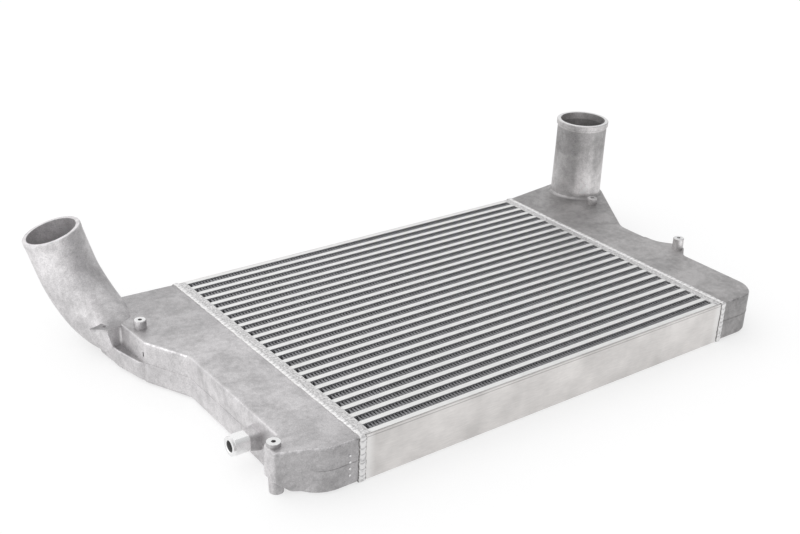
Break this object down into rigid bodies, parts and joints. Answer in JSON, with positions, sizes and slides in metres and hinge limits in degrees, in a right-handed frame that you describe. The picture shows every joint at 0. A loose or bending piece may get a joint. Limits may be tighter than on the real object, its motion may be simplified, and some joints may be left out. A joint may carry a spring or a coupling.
{
  "type": "intercooler",
  "caption": "Flat air-to-air intercooler: bar-and-plate finned core between cast aluminium end tanks, one with a bent hose pipe and a threaded port, one with a straight pipe.",
  "frame": {"origin": "middle of the core's underside, in its length and its width", "axes": "+X along the charge-air passages, from the tank with the bent pipe to the tank with the straight pipe; +Y across the core from the front side plate to the rear one, the side of the pipes; +Z through the core's thickness, the way the straight pipe points"},
  "size_m": [0.8955, 0.5163, 0.1745],
  "materials": {
    "cast_aluminium": "sand cast, shot blasted, matt",
    "machined_aluminium": "turned and milled, bright",
    "weld_aluminium": "as welded, satin",
    "core_aluminium": "brazed, satin",
    "fin_aluminium": "thin folded foil, brazed"
  },
  "bodies": {
    "root": {"left_tank": "cast_aluminium", "right_tank": "cast_aluminium", "threaded_port": "machined_aluminium", "left_weld_bead": "weld_aluminium", "right_weld_bead": "weld_aluminium", "front_side_plate": "core_aluminium", "rear_side_plate": "core_aluminium", "charge_bars": "core_aluminium", "closing_bars": "core_aluminium", "parting_sheets": "core_aluminium", "fin_row_01": "fin_aluminium", "fin_row_02": "fin_aluminium", "fin_row_03": "fin_aluminium", "fin_row_04": "fin_aluminium", "fin_row_05": "fin_aluminium", "fin_row_06": "fin_aluminium", "fin_row_07": "fin_aluminium", "fin_row_08": "fin_aluminium", "fin_row_09": "fin_aluminium", "fin_row_10": "fin_aluminium", "fin_row_11": "fin_aluminium", "fin_row_12": "fin_aluminium", "fin_row_13": "fin_aluminium", "fin_row_14": "fin_aluminium", "fin_row_15": "fin_aluminium", "fin_row_16": "fin_aluminium", "fin_row_17": "fin_aluminium", "fin_row_18": "fin_aluminium", "fin_row_19": "fin_aluminium", "fin_row_20": "fin_aluminium", "fin_row_21": "fin_aluminium", "fin_row_22": "fin_aluminium", "fin_row_23": "fin_aluminium", "fin_row_24": "fin_aluminium", "turbulator_01": "fin_aluminium", "turbulator_02": "fin_aluminium", "turbulator_03": "fin_aluminium", "turbulator_04": "fin_aluminium", "turbulator_05": "fin_aluminium", "turbulator_06": "fin_aluminium", "turbulator_07": "fin_aluminium", "turbulator_08": "fin_aluminium", "turbulator_09": "fin_aluminium", "turbulator_10": "fin_aluminium", "turbulator_11": "fin_aluminium", "turbulator_12": "fin_aluminium", "turbulator_13": "fin_aluminium", "turbulator_14": "fin_aluminium", "turbulator_15": "fin_aluminium", "turbulator_16": "fin_aluminium", "turbulator_17": "fin_aluminium", "turbulator_18": "fin_aluminium", "turbulator_19": "fin_aluminium", "turbulator_20": "fin_aluminium", "turbulator_21": "fin_aluminium", "turbulator_22": "fin_aluminium", "turbulator_23": "fin_aluminium", "turbulator_24": "fin_aluminium", "turbulator_25": "fin_aluminium"}
  },
  "joints": []
}
